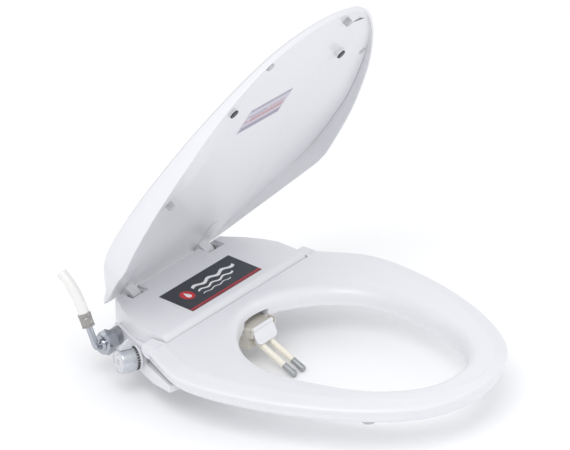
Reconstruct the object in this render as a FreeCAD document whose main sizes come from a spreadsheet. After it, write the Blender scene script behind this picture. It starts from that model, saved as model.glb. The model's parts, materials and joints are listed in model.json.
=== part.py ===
import FreeCAD
import Part
import math
import os

V = FreeCAD.Vector
os.makedirs("parts", exist_ok=True)
doc = FreeCAD.newDocument("BidetSeat")

# ---------------------------------------------------------------- driving dimensions
# X runs to the right of the object seen from its front, -Y to the front, Z up.
# The origin is midway between the two bowl bolts, on the plane of the bowl rim.
SIZES = {
    "bolt_spacing": 140.0,
    "slot_reach": 30.0,
    "slot_radius": 5.5,
    "bracket_width": 200.0,
    "bracket_depth": 39.0,
    "bracket_thick": 5.0,
    "pad_thick": 2.0,
    "seat_half_width": 185.5,
    "seat_front": 419.0,
    "seat_top": 32.0,
    "seat_thick": 22.0,
    "ring_wall": 4.0,
    "opening_half_width": 107.0,
    "opening_front": 382.0,
    "opening_rear": 111.0,
    "cover_half_width": 131.0,
    "wall": 3.0,
    "cover_rear": 14.0,
    "cover_rear_top": 43.5,
    "tub_top": 16.0,
    "seat_pivot_y": -78.0,
    "seat_pivot_z": 26.0,
    "nose_radius": 11.0,
    "ear_radius": 10.0,
    "ear_gap": 2.0,
    "ear_width": 17.0,
    "seat_pin_radius": 4.0,
    "lid_axis_y": 8.0,
    "lid_axis_z": 34.0,
    "lid_open": 59.0,
    "lid_over_seat": 4.0,
    "lid_front": 422.0,
    "lid_wall": 2.6,
    "lid_top": 50.5,
    "arm_spacing": 136.0,
    "arm_width": 15.0,
    "barrel_radius": 8.0,
    "lid_pin_radius": 3.5,
    "run_gap": 0.05,
    "knob_radius": 14.0,
    "knob_length": 18.0,
    "knob_centre_z": 10.0,
    "fin_height": 12.0,
    "stem_radius": 3.5,
    "valve_radius": 6.5,
    "inlet_y": -11.0,
    "inlet_z": 12.0,
    "thread_radius": 10.3,
    "nut_flats": 24.0,
    "hose_radius": 6.25,
    "pipe_radius": 3.9,
    "nozzle_pitch": 16.0,
    "nozzle_radius": 3.85,
    "nozzle_slope": 26.0,
    "nozzle_length": 82.0,
    "nozzle_tip": 18.0,
    "barrel_wall": 1.6,
    "gate_width": 37.0,
    "gate_length": 19.0,
    "gate_thick": 2.0,
    "gate_lean": 28.0,
}
sheet = doc.addObject("Spreadsheet::Sheet", "Sizes")
for row, (alias, value) in enumerate(SIZES.items(), 1):
    sheet.set("A%d" % row, alias)
    sheet.set("B%d" % row, str(value))
    sheet.setAlias("B%d" % row, alias)
doc.recompute()


def size(alias):
    """A driving dimension's value, read back from the sheet."""
    return float(getattr(sheet, alias))


parts = []
ALONG_X = FreeCAD.Rotation(V(0, 1, 0), 90)
# Limits beyond the whole object, for cuts that run right through it.
FAR, BELOW, ABOVE = 600.0, -30.0, 90.0


def keep(shape_object, label):
    """Name a finished sub-part and list it for export."""
    shape_object.Label = label
    parts.append(shape_object)
    return shape_object


def placed(point, rotation=FreeCAD.Rotation()):
    """A placement at this point, turned by this rotation."""
    return FreeCAD.Placement(V(*point), rotation)


def solid_feature(label, shape, placement=FreeCAD.Placement()):
    """A sub-part whose shape is made from curves and lofts."""
    made = doc.addObject("Part::Feature", label)
    made.Shape = shape
    made.Placement = placement
    return keep(made, label)


def primitive(kind, name, place, **sizes):
    """A Part primitive whose sizes are expressions over the sheet, or plain numbers."""
    made = doc.addObject(kind, name)
    for key, value in sizes.items():
        if isinstance(value, str):
            made.setExpression(key, value)
        else:
            setattr(made, key, value)
    made.Placement = place
    return made


def box(x0, x1, y0, y1, z0, z1):
    """A box between these limits."""
    return Part.makeBox(x1 - x0, y1 - y0, z1 - z0, V(x0, y0, z0))


def prism(points, axis, low, high):
    """A polygon pushed along X or Z. Along X its points are (y, z), along Z they are (x, y)."""
    if axis == "X":
        corners = [V(low, a, b) for a, b in points]
        travel = V(high - low, 0, 0)
    else:
        corners = [V(a, b, low) for a, b in points]
        travel = V(0, 0, high - low)
    return Part.Face(Part.makePolygon(corners + corners[:1])).extrude(travel)


def cylinder(radius, start, end):
    """A round bar of this radius from one point to the other."""
    start, end = V(*start), V(*end)
    return Part.makeCylinder(radius, (end - start).Length, start, end - start)


def offset_half(points, inset, spread):
    """Move a half outline inwards along its normals.

    With spread, the move is small at the front and rear and large at the sides.
    """
    moved = []
    for i, (x, y) in enumerate(points):
        x0, y0 = points[i - 1] if i else (points[1][0], points[1][1])
        x1, y1 = points[i + 1] if i + 1 < len(points) else (-points[i - 1][0], points[i - 1][1])
        if i == 0:
            x0, y0 = (-x1, y1) if x == 0 else (x, y)
        tx, ty = x1 - x0, y1 - y0
        length = math.hypot(tx, ty)
        nx, ny = ty / length, -tx / length
        share = inset * ((0.6 + 0.9 * abs(nx)) if spread else 1.0)
        moved.append((0.0 if x == 0 else x + nx * share, y + ny * share))
    return moved


def closed_wire(half, z_at, rear_y=None):
    """A closed wire from a half outline that starts at the rear.

    An outline that starts on the centre line is one smooth loop. One that starts
    at a corner gets a straight rear edge.
    """
    right = [V(x, y, z_at(y)) for x, y in half]
    left = [V(-x, y, z_at(y)) for x, y in reversed(half) if x > 0]
    curve = Part.BSplineCurve()
    if half[0][0] == 0:
        curve.interpolate(Points=right + left, PeriodicFlag=True)
        return Part.Wire([curve.toShape()])
    curve.interpolate(Points=right + left)
    back = Part.makeLine(left[-1], right[0])
    return Part.Wire([curve.toShape(), back])


def stack(half, levels, spread=False, tilt=0.0, pivot_y=0.0, ruled=False):
    """A solid lofted through one outline at several heights and insets."""
    wires = []
    for height, inset in levels:
        moved = offset_half(half, inset, spread)
        wires.append(closed_wire(moved, lambda y: height + tilt * (y - pivot_y)))
    return Part.makeLoft(wires, True, ruled)


# ---------------------------------------------------------------- outlines
seat_w, seat_f = size("seat_half_width"), size("seat_front")
seat_top, seat_low = size("seat_top"), size("seat_top") - size("seat_thick")
pivot_y, pivot_z = size("seat_pivot_y"), size("seat_pivot_z")

# From the rear corner of the ear round to the front, as shares of the half width
# and of the distance from the bolts to the front.
SEAT_SHARES = [(0.805, 0.158), (0.885, 0.235), (0.985, 0.330), (1.0, 0.405), (0.972, 0.500),
               (0.918, 0.600), (0.842, 0.693), (0.735, 0.790), (0.600, 0.878), (0.430, 0.950),
               (0.215, 0.990), (0.0, 1.0)]
OPENING_SHARES = [(0.0, 0.0), (0.36, 0.036), (0.668, 0.122), (0.888, 0.229), (1.0, 0.358),
                  (0.991, 0.487), (0.925, 0.609), (0.832, 0.734), (0.645, 0.862), (0.34, 0.963),
                  (0.0, 1.0)]

seat_half = [(sx * seat_w, -sy * seat_f) for sx, sy in SEAT_SHARES]
open_r, open_f = size("opening_rear"), size("opening_front")
open_half = [(sx * size("opening_half_width"), -open_r - sy * (open_f - open_r))
             for sx, sy in OPENING_SHARES]

# ---------------------------------------------------------------- mounting bracket
spacing, slot_r = size("bolt_spacing"), size("slot_radius")
bracket_low = size("pad_thick")
bracket_top = bracket_low + size("bracket_thick")
bracket_w, bracket_d = size("bracket_width"), size("bracket_depth")
bracket_rear = size("cover_rear") - 1.0

plate = doc.addObject("PartDesign::Body", "MountingBracket")
plane = [f for f in plate.Origin.OriginFeatures if f.Role == "XY_Plane"][0]
outline = plate.newObject("Sketcher::SketchObject", "BracketOutline")
outline.AttachmentSupport = [(plane, "")]
outline.MapMode = "FlatFace"


def sketch_loop(sketch, corners):
    """Straight lines round a loop of corners, joined end to end."""
    for a, b in zip(corners, corners[1:] + corners[:1]):
        sketch.addGeometry(Part.LineSegment(V(a[0], a[1], 0), V(b[0], b[1], 0)), False)


def sketch_slot(sketch, x, y, reach, radius):
    """A slot along X with round ends."""
    half = reach / 2 - radius
    up, down, quarter = V(0, radius, 0), V(0, -radius, 0), math.pi / 2
    a, b = V(x - half, y, 0), V(x + half, y, 0)
    normal = V(0, 0, 1)
    sketch.addGeometry(Part.LineSegment(a + up, b + up), False)
    sketch.addGeometry(Part.LineSegment(a + down, b + down), False)
    sketch.addGeometry(Part.ArcOfCircle(Part.Circle(a, normal, radius), quarter, 3 * quarter), False)
    sketch.addGeometry(Part.ArcOfCircle(Part.Circle(b, normal, radius), -quarter, quarter), False)


half_w = bracket_w / 2
sketch_loop(outline, [(-half_w, bracket_rear - bracket_d), (half_w, bracket_rear - bracket_d),
                      (half_w, bracket_rear), (-half_w, bracket_rear)])
for side in (-1, 1):
    sketch_slot(outline, side * spacing / 2, 0, size("slot_reach"), slot_r)
plate_pad = plate.newObject("PartDesign::Pad", "BracketPad")
plate_pad.Profile = outline
plate_pad.setExpression("Length", "Sizes.bracket_thick")
plate.Tip = plate_pad
plate.Placement = placed((0, 0, bracket_low))
keep(plate, "mounting_bracket")

PAD_INNER, PAD_OUTER, PAD_FRONT = 16.0, 50.0, 22.0
for side, word in ((-1, "left"), (1, "right")):
    low_x = PAD_INNER if side > 0 else -PAD_OUTER
    rest = primitive("Part::Box", "Pad_" + word, placed((low_x, -PAD_FRONT, 0)),
                     Length=PAD_OUTER - PAD_INNER, Width=PAD_FRONT + 10.0,
                     Height="Sizes.pad_thick")
    keep(rest, "bracket_pad_" + word)

# ---------------------------------------------------------------- knob direction and places
cover_w, wall = size("cover_half_width"), size("wall")
cover_rear = size("cover_rear")
TUB_LOW = 1.0
tub_top = size("tub_top")

# The knob side's flank is one straight wall. A point on it and its outward normal:
FLANK_OUT, FLANK_Y, KNOB_Y = 6.0, -51.0, -60.2
flank_point = V(-cover_w - FLANK_OUT, FLANK_Y, 0)
FLANK_TURN = math.radians(25.95)
outward = V(-math.cos(FLANK_TURN), math.sin(FLANK_TURN), 0)
forward = V(-math.sin(FLANK_TURN), -math.cos(FLANK_TURN), 0)


def flank_at(y):
    """The point of the flank's line at this y."""
    return flank_point + forward * ((y - flank_point.y) / forward.y)


knob_root = flank_at(KNOB_Y)
knob_root.z = size("knob_centre_z")
knob_turn = FreeCAD.Rotation(V(0, 0, 1).cross(outward), V(0, 0, 1), outward, "ZYX")
knob_place = FreeCAD.Placement(knob_root, knob_turn)


def knob_point(distance, side=0.0, up=0.0):
    """A point in the knob's own frame: out along its axis, along the flank, and up."""
    return knob_place.multVec(V(side, up, distance))


# ---------------------------------------------------------------- housing tub
# Rear, sides and front shelf of the tub in plan, right half from the rear.
side_y = [cover_rear, 2.0, -12.0, -31.0, -48.0]
side_x = [0.70, 0.77, 0.86, 0.945, 1.0]
cover_side = [(share * cover_w, y) for share, y in zip(side_x, side_y)]
SHELF_REACH, SHELF_HALF = 32.0, 110.0
shelf_front = pivot_y - SHELF_REACH


def plan_loop(inset, front):
    """The body's plan loop, drawn in by inset, ending at this front line."""
    right = [(x - inset, y - (inset if i == 0 else 0)) for i, (x, y) in enumerate(cover_side)]
    right.append((cover_w - inset, front))
    return right + [(-x, y) for x, y in reversed(right)]


NOSE_SEAT = 1.0
cover_front = pivot_y - size("nose_radius") + NOSE_SEAT
tub = prism(plan_loop(0, cover_front), "Z", TUB_LOW, tub_top)
shelf_top = seat_low - 1.0
tub = tub.fuse(box(-SHELF_HALF, SHELF_HALF, shelf_front, cover_front + 5, TUB_LOW, shelf_top))
hollow = prism(plan_loop(wall, cover_front + wall), "Z", TUB_LOW + wall, tub_top + 1)
tub = tub.cut(hollow)

# Block between the tub's side and the knob, with the arm that reaches forward under the seat.
BLOCK_TOP, BLOCK_STEP = 23.0, 14.0
block_in, block_in_rear = -cover_w + 12, -cover_w + 20
BLOCK_REAR, BLOCK_STEP_Y, BLOCK_FRONT = -2.0, -65.5, -71.5
ARM_TOP, ARM_LOW, ARM_FRONT, ARM_TIP_LOW = 7.0, -9.0, -125.0, -1.0
rear_corner = flank_at(BLOCK_REAR)
block = prism([(block_in_rear, BLOCK_REAR), (rear_corner.x, rear_corner.y),
               (flank_at(BLOCK_STEP_Y).x, BLOCK_STEP_Y), (block_in, BLOCK_STEP_Y)],
              "Z", ARM_LOW, BLOCK_TOP)
block = block.fuse(prism([(block_in, BLOCK_STEP_Y), (flank_at(BLOCK_STEP_Y).x, BLOCK_STEP_Y),
                          (flank_at(BLOCK_FRONT).x, BLOCK_FRONT), (block_in, BLOCK_FRONT)],
                         "Z", ARM_LOW, BLOCK_STEP))
tip = flank_at(ARM_FRONT)
arm = prism([(block_in, BLOCK_FRONT), (flank_at(BLOCK_FRONT).x, BLOCK_FRONT),
             (tip.x, tip.y), (tip.x + 13, tip.y - 4), (-cover_w - 8, ARM_FRONT + 12)],
            "Z", ARM_LOW, ARM_TOP)
arm_trim = prism([(BLOCK_FRONT - 12, ARM_LOW - 1), (ARM_FRONT - 20, ARM_LOW - 1),
                  (ARM_FRONT - 20, ARM_TIP_LOW + 1), (ARM_FRONT, ARM_TIP_LOW)], "X",
                 -260, 0)
arm = arm.cut(arm_trim)
inside_cover = prism(plan_loop(-0.3, cover_front - 0.3), "Z", tub_top, 80)
block = block.cut(inside_cover)
tub = tub.fuse(block).fuse(arm)
# Way for the bracket from below and behind, the valve and the inlet.
tub = tub.cut(box(-half_w, half_w, bracket_rear - bracket_d, cover_rear + 5,
                  TUB_LOW - 1, bracket_top))
tub = tub.cut(box(wall - half_w, half_w - wall, bracket_rear - bracket_d + wall,
                  cover_rear + 5, TUB_LOW - 1, bracket_top + 6))
valve_r, stem_r = size("valve_radius"), size("stem_radius")
VALVE_TAIL = 36.0
tub = tub.cut(cylinder(valve_r, knob_point(-VALVE_TAIL), knob_point(4)))
inlet_y, inlet_z, thread_r = size("inlet_y"), size("inlet_z"), size("thread_radius")
inlet_wall = flank_at(inlet_y).x
STUB_GAP, INLET_OUT = 0.1, 10.0
tub = tub.cut(cylinder(thread_r + STUB_GAP, (inlet_wall + 26, inlet_y, inlet_z),
                       (inlet_wall - INLET_OUT, inlet_y, inlet_z)))
# Notch at the front for the nozzle guide.
GUIDE_HALF, GUIDE_FORE, GUIDE_LONG = 20.0, 8.0, 22.0
guide_front = shelf_front - GUIDE_FORE
guide_rear = guide_front + GUIDE_LONG
tub = tub.cut(box(-GUIDE_HALF, GUIDE_HALF, shelf_front - 1, cover_front + 20, -10, 40))
solid_feature("base_housing", tub.removeSplitter())

# ---------------------------------------------------------------- valve and dial
valve = cylinder(valve_r, knob_point(-VALVE_TAIL), knob_point(0))
run_gap = size("run_gap")
STEM_REACH = 13.0
valve = valve.cut(cylinder(stem_r + run_gap, knob_point(-STEM_REACH - 0.5), knob_point(1)))
solid_feature("valve_body", valve)

DIAL_OUT, DIAL_FROM, DIAL_TO = 13.6, 3.0, 9.4
dial = cylinder(DIAL_OUT, knob_point(DIAL_FROM), knob_point(DIAL_TO))
dial = dial.fuse(cylinder(valve_r, knob_point(0), knob_point(DIAL_FROM)))
dial = dial.cut(cylinder(stem_r + 0.5, knob_point(-1), knob_point(20)))
solid_feature("dial_ring", dial.removeSplitter())

knob_r, knob_low = size("knob_radius"), DIAL_TO + 0.4
knob_high = knob_low + size("knob_length")
SHELL, FACE = 2.0, 1.0
shell = cylinder(knob_r, knob_point(knob_low), knob_point(knob_high))
shell = shell.makeFillet(1.2, [e for e in shell.Edges if abs(e.Length - 2 * math.pi * knob_r) < 1])
shell = shell.cut(cylinder(knob_r - SHELL, knob_point(knob_low - 1), knob_point(knob_high - 4)))
shell = shell.cut(cylinder(knob_r - SHELL, knob_point(knob_high - FACE), knob_point(knob_high + 1)))
solid_feature("knob_shell", shell)
face = cylinder(knob_r - SHELL, knob_point(knob_high - FACE), knob_point(knob_high - 0.3))
solid_feature("knob_face", face)
stem = cylinder(stem_r, knob_point(-STEM_REACH), knob_point(knob_high - 4))
solid_feature("knob_stem", stem)

fin = doc.addObject("PartDesign::Body", "KnobFin")
fin_plane = [f for f in fin.Origin.OriginFeatures if f.Role == "YZ_Plane"][0]
fin_sketch = fin.newObject("Sketcher::SketchObject", "FinOutline")
fin_sketch.AttachmentSupport = [(fin_plane, "")]
fin_sketch.MapMode = "FlatFace"
fin_root, fin_top = knob_r - 0.02, knob_r + size("fin_height")
sketch_loop(fin_sketch, [(fin_root, knob_low + 1.5), (fin_root, knob_high - 1.5),
                         (fin_top - 3, knob_high - 1.5), (fin_top, knob_high - 5),
                         (fin_top, knob_low + 5), (fin_top - 4, knob_low + 1.5)])
FIN_WIDTH = 5.0
fin_pad = fin.newObject("PartDesign::Pad", "FinPad")
fin_pad.Profile = fin_sketch
fin_pad.Length = FIN_WIDTH
fin_pad.Midplane = True
fin.Tip = fin_pad
fin.Placement = knob_place
doc.recompute()
fin_cut = fin.Shape.cut(cylinder(knob_r, knob_point(knob_low), knob_point(knob_high)))
solid_feature("knob_fin", fin_cut)

# ---------------------------------------------------------------- top cover
nose_r = size("nose_radius")
rear_top = size("cover_rear_top")
lid_y, lid_z = size("lid_axis_y"), size("lid_axis_z")
nose_top = pivot_z + nose_r


def cover_profile(inset):
    """Side profile of the cover, (y, z), drawn in by inset, with the round nose apart."""
    foot_z = tub_top if inset == 0 else tub_top - 1
    return [(cover_rear - inset, foot_z),
            (cover_rear - inset, rear_top - 5), (cover_rear - 5, rear_top - inset),
            (pivot_y, nose_top - inset), (pivot_y, pivot_z),
            (cover_front + inset, pivot_z), (cover_front + inset, foot_z)]


def nose(inset, half):
    return cylinder(nose_r - inset, (-half, pivot_y, pivot_z), (half, pivot_y, pivot_z))


cover = prism(cover_profile(0), "X", -cover_w - 5, cover_w + 5).fuse(nose(0, cover_w + 5))
cover = cover.common(prism(plan_loop(0, cover_front - 5), "Z", tub_top, 90))
cavity = prism(cover_profile(wall), "X", -cover_w, cover_w).fuse(nose(wall, cover_w))
cavity = cavity.common(prism(plan_loop(wall, cover_front - 5), "Z", tub_top - 1, 90))
cover = cover.removeSplitter().cut(cavity.removeSplitter())
arm_x, arm_w = size("arm_spacing") / 2, size("arm_width")
barrel_r = size("barrel_radius")
CHEEK, SIDE_GAP, POCKET_EXTRA = 3.0, 1.0, 7.0
pocket_front, pocket_low = lid_y - barrel_r - 3.0, lid_z - barrel_r - 3.0
pockets = {}
for side, word in ((-1, "left"), (1, "right")):
    # The pocket is wider on the outer side of each arm.
    inner = arm_x - arm_w / 2 - SIDE_GAP
    outer = arm_x + arm_w / 2 + POCKET_EXTRA
    pockets[word] = (min(side * inner, side * outer), max(side * inner, side * outer))
    low_x, high_x = pockets[word]
    cover = cover.cut(box(low_x - CHEEK, high_x + CHEEK, pocket_front - CHEEK, cover_rear + 1,
                          tub_top - 1, 90))
    cover = cover.cut(cylinder(size("seat_pin_radius"), (side * (cover_w - 20), pivot_y, pivot_z),
                               (side * (cover_w + 5), pivot_y, pivot_z)))
cover = cover.cut(cylinder(valve_r, knob_point(-VALVE_TAIL), knob_point(4)))
cover = cover.cut(cylinder(thread_r + STUB_GAP, (inlet_wall + 26, inlet_y, inlet_z),
                           (inlet_wall - INLET_OUT, inlet_y, inlet_z)))
cover = cover.cut(box(-GUIDE_HALF, GUIDE_HALF, cover_front - 1, cover_front + 12, tub_top - 2, 30))
solid_feature("top_cover", cover)

# Label on the cover's slope, slightly above it.
LABEL_LEFT, LABEL_RIGHT, LABEL_FROM, LABEL_TO, LABEL_THICK = -63.0, 66.0, 4.5, 52.5, 0.4
slope = math.atan2(rear_top - nose_top, cover_rear - 5 - pivot_y)
label_turn = FreeCAD.Rotation(V(1, 0, 0), math.degrees(slope))
label = primitive("Part::Box", "Label",
                  placed((LABEL_LEFT, pivot_y + LABEL_FROM * math.cos(slope),
                          nose_top + LABEL_FROM * math.sin(slope)), label_turn),
                  Length=LABEL_RIGHT - LABEL_LEFT, Width=LABEL_TO - LABEL_FROM, Height=LABEL_THICK)
keep(label, "cover_label")

# ---------------------------------------------------------------- lid hinge brackets and pins
pin_r = size("lid_pin_radius")
for side, word in ((-1, "left"), (1, "right")):
    low_x, high_x = pockets[word]
    cradle = box(low_x - CHEEK, high_x + CHEEK, pocket_front - CHEEK, cover_rear, tub_top,
                 lid_z + 6)
    cradle = cradle.cut(box(low_x, high_x, pocket_front, cover_rear + 1, pocket_low, 90))
    cradle = cradle.common(prism(cover_profile(0), "X", -cover_w, cover_w))
    cradle = cradle.cut(cylinder(pin_r, (low_x - 20, lid_y, lid_z), (high_x + 20, lid_y, lid_z)))
    solid_feature("hinge_bracket_" + word, cradle)
    pin = primitive("Part::Cylinder", "LidPin_" + word,
                    placed((low_x - CHEEK, lid_y, lid_z), ALONG_X),
                    Radius="Sizes.lid_pin_radius", Height=high_x - low_x + 2 * CHEEK)
    keep(pin, "lid_pin_" + word)
    seat_pin = primitive("Part::Cylinder", "SeatPin_" + word,
                         placed((side * (cover_w - 9) if side > 0 else -cover_w - size("ear_gap") - 12,
                                 pivot_y, pivot_z), ALONG_X),
                         Radius="Sizes.seat_pin_radius", Height=21 + size("ear_gap"))
    keep(seat_pin, "seat_pin_" + word)

# Soft-close dampers beside the lid's axis, between the brackets.
DAMPER_R, DAMPER_GAP = 6.5, 4.0
damper_end = arm_x - arm_w / 2 - SIDE_GAP - CHEEK
for side, word in ((-1, "left"), (1, "right")):
    low_x = DAMPER_GAP if side > 0 else -damper_end
    damper = primitive("Part::Cylinder", "Damper_" + word,
                       placed((low_x, cover_rear - wall - DAMPER_R - 0.3, lid_z - 2.5),
                              ALONG_X),
                       Radius=DAMPER_R, Height=damper_end - DAMPER_GAP)
    keep(damper, "lid_damper_" + word)

# ---------------------------------------------------------------- inlet, elbow and hose
NUT_LONG, NUT_OUT, STUB_IN, STUB_OUT, STUB_WALL = 17.0, 14.0, 8.0, 20.0, 3.0
stub_end = inlet_wall - STUB_OUT
stub = cylinder(thread_r, (inlet_wall + STUB_IN, inlet_y, inlet_z), (stub_end, inlet_y, inlet_z))
stub = stub.cut(cylinder(thread_r - STUB_WALL, (inlet_wall + STUB_IN + 1, inlet_y, inlet_z),
                         (stub_end - 1, inlet_y, inlet_z)))
solid_feature("inlet_stub", stub)
nut_from = inlet_wall - NUT_OUT
flats = size("nut_flats")
hexagon = [V(nut_from, inlet_y + flats / math.sqrt(3) * math.cos(math.radians(60 * i)),
             inlet_z + flats / math.sqrt(3) * math.sin(math.radians(60 * i))) for i in range(6)]
nut = Part.Face(Part.makePolygon(hexagon + hexagon[:1])).extrude(V(-NUT_LONG, 0, 0))
nut = nut.cut(cylinder(thread_r, (nut_from + 1, inlet_y, inlet_z), (stub_end, inlet_y, inlet_z)))
nut = nut.cut(cylinder(size("pipe_radius") + STUB_GAP, (nut_from, inlet_y, inlet_z),
                       (nut_from - 30, inlet_y, inlet_z)))
solid_feature("inlet_nut", nut)

ELBOW_OUT = 9.0
elbow_x = nut_from - NUT_LONG - ELBOW_OUT
PIPE_LEAN = math.radians(24)
pipe_dir = V(0, math.sin(PIPE_LEAN), math.cos(PIPE_LEAN))
elbow_at = V(elbow_x, inlet_y, inlet_z)
nut_face = V(nut_from - NUT_LONG, inlet_y, inlet_z)
PIPE_TO, PIPE_ROOT = 26.0, 6.0
pipe_r = size("pipe_radius")
COLLAR_R, COLLAR_LONG = 7.0, 3.0
collar = cylinder(COLLAR_R, tuple(nut_face), tuple(nut_face + V(-COLLAR_LONG, 0, 0)))
collar = collar.makeChamfer(1.4, [e for e in collar.Edges if e.Vertexes[0].X < nut_face.x - 1
                                  and len(e.Vertexes) == 1])
collar = collar.cut(cylinder(pipe_r, tuple(nut_face + V(1, 0, 0)),
                             tuple(nut_face + V(-COLLAR_LONG - 1, 0, 0))))
solid_feature("pipe_collar", collar)
pipe = cylinder(pipe_r, tuple(nut_face + V(PIPE_ROOT, 0, 0)), tuple(elbow_at))
pipe = pipe.fuse(Part.makeSphere(pipe_r, elbow_at))
pipe = pipe.fuse(cylinder(pipe_r, tuple(elbow_at), tuple(elbow_at + pipe_dir * PIPE_TO)))
solid_feature("elbow_pipe", pipe.removeSplitter())

hose_r = size("hose_radius")
FERRULE_LONG, FERRULE_WALL = 16.0, 1.2
ferrule_end = elbow_at + pipe_dir * (PIPE_TO + FERRULE_LONG)
ferrule = cylinder(hose_r + FERRULE_WALL, tuple(elbow_at + pipe_dir * PIPE_TO), tuple(ferrule_end))
solid_feature("hose_ferrule", ferrule)

# The hose's route: straight out of the ferrule, then leaning back further.
HOSE_RUN, LEANS = 17.5, (24, 36, 50)
route = [ferrule_end]
for lean in LEANS:
    turn = math.radians(lean)
    route.append(route[-1] + V(0, math.sin(turn), math.cos(turn)) * HOSE_RUN)


def tube_path(points):
    """Straight runs joined by arcs as large as the runs allow."""
    edges = []
    start = points[0]
    for before, corner, after in zip(points, points[1:], points[2:]):
        inward, outgoing = (corner - before), (after - corner)
        turn = inward.getAngle(outgoing)
        reach = 0.45 * min(inward.Length, outgoing.Length)
        radius = reach / math.tan(turn / 2)
        a = corner - inward.normalize() * reach
        b = corner + outgoing.normalize() * reach
        bend = (a + b) * 0.5 - corner
        middle = corner + bend.normalize() * (radius / math.cos(turn / 2) - radius)
        edges += [Part.LineSegment(start, a).toShape(), Part.Arc(a, middle, b).toShape()]
        start = b
    edges.append(Part.LineSegment(start, points[-1]).toShape())
    return Part.Wire(edges)


hose_path = tube_path(route)
hose_ring = Part.Wire(Part.makeCircle(hose_r, route[0], pipe_dir))
hose = hose_path.makePipeShell([hose_ring], True, False)
solid_feature("supply_hose", hose)

# ---------------------------------------------------------------- nozzles, guide and gate
slant = math.radians(size("nozzle_slope"))
ahead = V(0, -math.cos(slant), -math.sin(slant))
TIP_Y, TIP_Z, TIP_ROUND = -175.0, -35.0, 2.5
noz_r, barrel_wall = size("nozzle_radius"), size("barrel_wall")
bore_r = noz_r + run_gap
tube_r = bore_r + barrel_wall
BARREL_FROM, BARREL_TO = 60.0, 122.0
GUIDE_LOW, GUIDE_GAP = -16.0, 1.4
guide_top = seat_low - GUIDE_GAP
guide = box(-GUIDE_HALF, GUIDE_HALF, guide_front, guide_rear, GUIDE_LOW, guide_top)
GATE_Y, GATE_Z = guide_front - 4.0, guide_top
for side in (-1, 1):
    ear = box(side * 21 - 1, side * 21 + 1, GATE_Y - 3, guide_front + 3, guide_top - 8, guide_top + 3)
    brace = box(side * 20 - 2, side * 20 + 2, guide_front, guide_front + 4, guide_top - 8, guide_top)
    guide = guide.fuse(ear).fuse(brace)
for side, word in ((-1, "left"), (1, "right")):
    nose_tip = V(side * size("nozzle_pitch") / 2, TIP_Y, TIP_Z)
    back_to = [nose_tip - ahead * d for d in (BARREL_FROM, BARREL_TO)]
    guide = guide.cut(cylinder(tube_r, tuple(back_to[0] + ahead * 20), tuple(back_to[1])))
    barrel = cylinder(tube_r, tuple(back_to[0]), tuple(back_to[1]))
    barrel = barrel.cut(cylinder(bore_r, tuple(back_to[0] + ahead), tuple(back_to[1] - ahead)))
    solid_feature("nozzle_barrel_" + word, barrel)
    tip_end = nose_tip - ahead * size("nozzle_tip")
    rod_end = nose_tip - ahead * size("nozzle_length")
    rod = cylinder(noz_r, tuple(tip_end), tuple(rod_end))
    solid_feature("nozzle_rod_" + word, rod)
    head = cylinder(noz_r, tuple(nose_tip), tuple(tip_end))
    rim = [e for e in head.Edges if e.Curve.TypeId == "Part::GeomCircle"
           and (e.Curve.Center - nose_tip).Length < 0.01]
    solid_feature("nozzle_tip_" + word, head.makeFillet(TIP_ROUND, rim))
GATE_PIN, GATE_PIN_HALF, GATE_HUB, GATE_CORNER = 1.2, 22.0, 2.6, 7.0
guide = guide.cut(cylinder(GATE_PIN, (-30, GATE_Y, GATE_Z), (30, GATE_Y, GATE_Z)))
solid_feature("nozzle_guide", guide.removeSplitter())
gate_pin = primitive("Part::Cylinder", "GatePin",
                     placed((-GATE_PIN_HALF, GATE_Y, GATE_Z), ALONG_X),
                     Radius=GATE_PIN, Height=2 * GATE_PIN_HALF)
keep(gate_pin, "gate_pin")
gate_w, gate_t = size("gate_width"), size("gate_thick")
lean = math.radians(size("gate_lean"))
gate = cylinder(GATE_HUB, (-gate_w / 2, GATE_Y, GATE_Z), (gate_w / 2, GATE_Y, GATE_Z))
leaf = box(-gate_w / 2, gate_w / 2, -gate_t / 2, gate_t / 2, -size("gate_length"), 0)
corner = [e for e in leaf.Edges if abs(e.CenterOfMass.z + size("gate_length")) < 0.01
          and abs(abs(e.CenterOfMass.x) - gate_w / 2) < 0.01]
leaf = leaf.makeFillet(GATE_CORNER, corner)
leaf.Placement = FreeCAD.Placement(V(0, GATE_Y, GATE_Z),
                                   FreeCAD.Rotation(V(-1, 0, 0), math.degrees(lean)))
gate = gate.fuse(leaf)
gate = gate.cut(cylinder(GATE_PIN + run_gap, (-40, GATE_Y, GATE_Z), (40, GATE_Y, GATE_Z)))
solid_feature("nozzle_gate", gate.removeSplitter())

# ---------------------------------------------------------------- seat ring
outer_levels = [(seat_low, 5.5), (seat_low + 7, 2.5), (seat_low + 13, 0.6), (seat_top - 5.5, 0),
                (seat_top - 2.5, 4), (seat_top - 0.6, 11), (seat_top, 18)]
inner_levels = [(seat_low, 0), (seat_low + 9, -0.4), (seat_top - 6, -2.5), (seat_top - 2.5, -6),
                (seat_top - 0.6, -12), (seat_top, -17)]
bulk = stack(seat_half, outer_levels, spread=True)
mouth = stack(open_half, inner_levels, spread=True)
ring = bulk.cut(mouth)
ear_in = cover_w + size("ear_gap")
ear_out = ear_in + size("ear_width")
ear_r = size("ear_radius")
ring_rear = pivot_y - nose_r - 1.2
ring = ring.cut(box(-ear_in, ear_in, ring_rear, FAR, BELOW, ABOVE))
ring = ring.cut(box(-FAR, FAR, pivot_y - 2, FAR, BELOW, ABOVE))
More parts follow.
